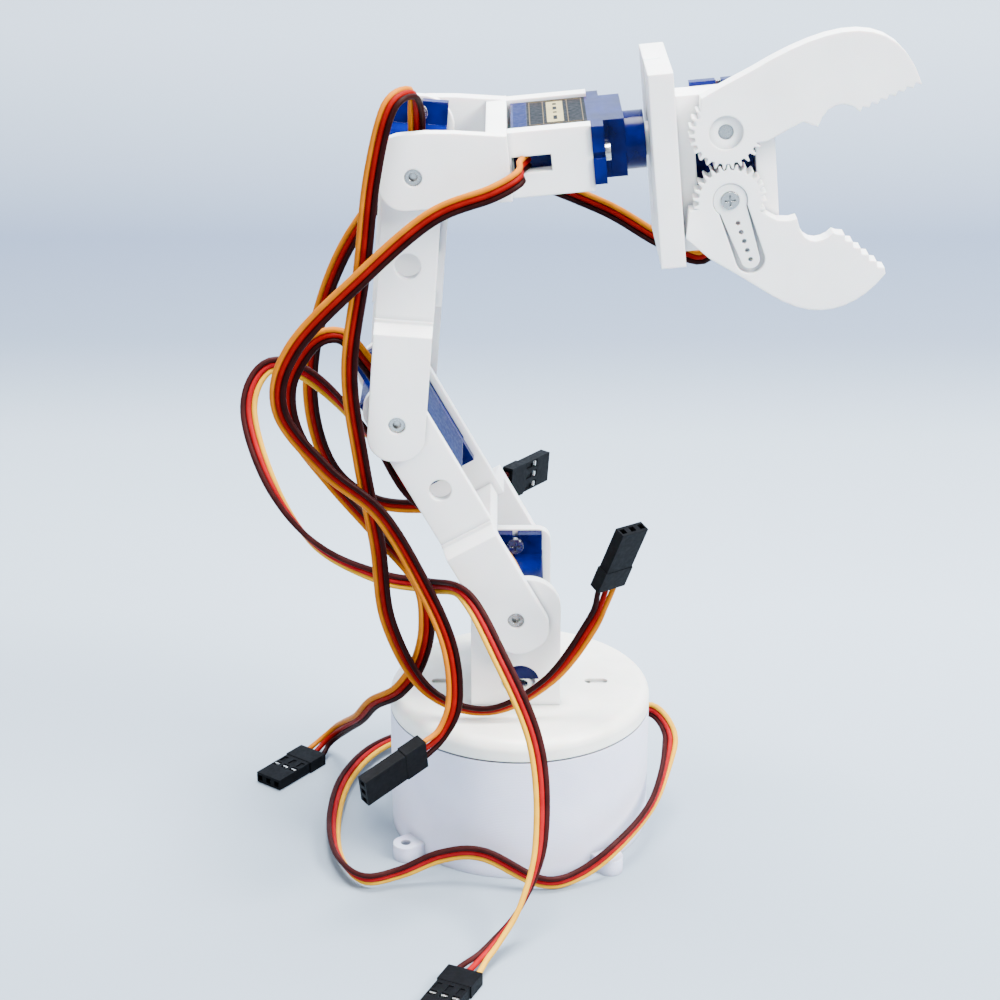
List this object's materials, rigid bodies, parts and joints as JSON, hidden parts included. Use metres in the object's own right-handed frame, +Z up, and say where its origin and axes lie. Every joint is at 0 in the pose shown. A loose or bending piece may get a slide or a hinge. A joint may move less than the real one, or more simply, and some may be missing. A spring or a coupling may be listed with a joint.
{
  "type": "desktop_robot_arm",
  "caption": "Desktop robot arm kit with a round base, a turntable, two printed links, a forearm that rolls and a geared two-jaw gripper, driven by micro servos with ribbon leads",
  "frame": {"origin": "centre of the base's underside, on the base axis", "axes": "+Z up along the base axis, +X along the arm's reach, +Y across the arm towards the shoulder horn"},
  "size_m": [0.1397, 0.1284, 0.1812],
  "materials": {
    "print_white": "smooth white printed plastic",
    "print_base": "white printed plastic with fine layer lines",
    "print_disc": "warm white printed plastic",
    "servo_blue": "translucent blue, polished",
    "shaft_nylon": "natural nylon",
    "horn_nylon": "greyish white nylon",
    "motor_steel": "satin",
    "steel_screw": "bright plated steel",
    "lead_ribbon": "soft three-wire ribbon in brown, red and orange",
    "plug_black": "black moulded plastic"
  },
  "bodies": {
    "base": {"base_housing": "print_base", "base_screws": "steel_screw", "base_servo_case": "servo_blue", "base_servo_cover": "servo_blue", "base_servo_motor": "motor_steel", "base_lead": "lead_ribbon", "floor_plugs": "plug_black"},
    "turntable": {"base_servo_shaft": "shaft_nylon", "base_horn": "horn_nylon", "turntable": "print_disc", "near_upright": "print_white", "far_upright": "print_white", "turntable_screws": "steel_screw", "shoulder_servo_case": "servo_blue", "shoulder_servo_cover": "servo_blue", "shoulder_servo_motor": "motor_steel", "shoulder_lead": "lead_ribbon", "wrist_plug": "plug_black", "roll_plug": "plug_black"},
    "lower_arm": {"shoulder_servo_shaft": "shaft_nylon", "shoulder_horn": "horn_nylon", "lower_arm": "print_white", "shoulder_pin": "steel_screw", "lower_arm_screws": "steel_screw", "elbow_servo_case": "servo_blue", "elbow_servo_cover": "servo_blue", "elbow_servo_motor": "motor_steel", "elbow_lead": "lead_ribbon", "grip_plug": "plug_black"},
    "upper_arm": {"elbow_servo_shaft": "shaft_nylon", "elbow_horn": "horn_nylon", "upper_arm": "print_white", "elbow_pin": "steel_screw", "upper_arm_screws": "steel_screw", "wrist_servo_case": "servo_blue", "wrist_servo_cover": "servo_blue", "wrist_servo_motor": "motor_steel", "wrist_lead": "lead_ribbon"},
    "forearm": {"wrist_servo_shaft": "shaft_nylon", "wrist_horn": "horn_nylon", "forearm": "print_white", "wrist_pin": "steel_screw", "forearm_screws": "steel_screw", "roll_servo_case": "servo_blue", "roll_servo_cover": "servo_blue", "roll_servo_motor": "motor_steel", "roll_lead": "lead_ribbon"},
    "gripper": {"roll_servo_shaft": "shaft_nylon", "roll_horn": "horn_nylon", "gripper_bracket": "print_white", "gripper_screws": "steel_screw", "grip_servo_case": "servo_blue", "grip_servo_cover": "servo_blue", "grip_servo_motor": "motor_steel", "grip_lead": "lead_ribbon"},
    "drive_jaw": {"grip_servo_shaft": "shaft_nylon", "grip_horn": "horn_nylon", "drive_jaw": "print_white", "drive_jaw_screw": "steel_screw"},
    "driven_jaw": {"driven_jaw": "print_white"}
  },
  "joints": [
    {"name": "base_yaw", "type": "hinge", "parent": "base", "child": "turntable", "pos_m": [0, 0, 0.03], "axis": [0, 0, 1], "range_deg": [-90, 90], "deforming": ["base_lead", "shoulder_lead", "elbow_lead", "wrist_lead", "roll_lead", "grip_lead", "floor_plugs", "wrist_plug", "roll_plug", "grip_plug"]},
    {"name": "shoulder_pitch", "type": "hinge", "parent": "turntable", "child": "lower_arm", "pos_m": [-0.001, 0, 0.0555], "axis": [0, 1, 0], "range_deg": [-25, 25], "deforming": ["base_lead", "shoulder_lead", "elbow_lead", "wrist_lead", "roll_lead", "grip_lead", "floor_plugs", "wrist_plug", "roll_plug", "grip_plug"]},
    {"name": "elbow_pitch", "type": "hinge", "parent": "lower_arm", "child": "upper_arm", "pos_m": [-0.02573, 0, 0.10011], "axis": [0, 1, 0], "range_deg": [-75, 35], "deforming": ["base_lead", "shoulder_lead", "elbow_lead", "wrist_lead", "roll_lead", "grip_lead", "floor_plugs", "wrist_plug", "roll_plug", "grip_plug"]},
    {"name": "wrist_pitch", "type": "hinge", "parent": "upper_arm", "child": "forearm", "pos_m": [-0.02161, 0, 0.15244], "axis": [0, 1, 0], "range_deg": [-90, 15], "deforming": ["base_lead", "shoulder_lead", "elbow_lead", "wrist_lead", "roll_lead", "grip_lead", "floor_plugs", "wrist_plug", "roll_plug", "grip_plug"]},
    {"name": "wrist_roll", "type": "hinge", "parent": "forearm", "child": "gripper", "pos_m": [-0.02161, 0, 0.15244], "axis": [0.9954, 0, 0.0958], "range_deg": [-90, 90], "deforming": ["base_lead", "shoulder_lead", "elbow_lead", "wrist_lead", "roll_lead", "grip_lead", "floor_plugs", "wrist_plug", "roll_plug", "grip_plug"]},
    {"name": "drive_jaw_pivot", "type": "hinge", "parent": "gripper", "child": "drive_jaw", "pos_m": [0.04146, -0.011, 0.14747], "axis": [0, -1, 0], "range_deg": [-3, 25], "deforming": ["base_lead", "shoulder_lead", "elbow_lead", "wrist_lead", "roll_lead", "grip_lead", "floor_plugs", "wrist_plug", "roll_plug", "grip_plug"]},
    {"name": "driven_jaw_pivot", "type": "hinge", "parent": "gripper", "child": "driven_jaw", "pos_m": [0.04015, -0.011, 0.1611], "axis": [0, -1, 0], "range_deg": [-25, 3], "deforming": ["base_lead", "shoulder_lead", "elbow_lead", "wrist_lead", "roll_lead", "grip_lead", "floor_plugs", "wrist_plug", "roll_plug", "grip_plug"]}
  ],
  "couplings": [
    {"joint": "driven_jaw_pivot", "follows": "drive_jaw_pivot", "ratio": -1}
  ]
}
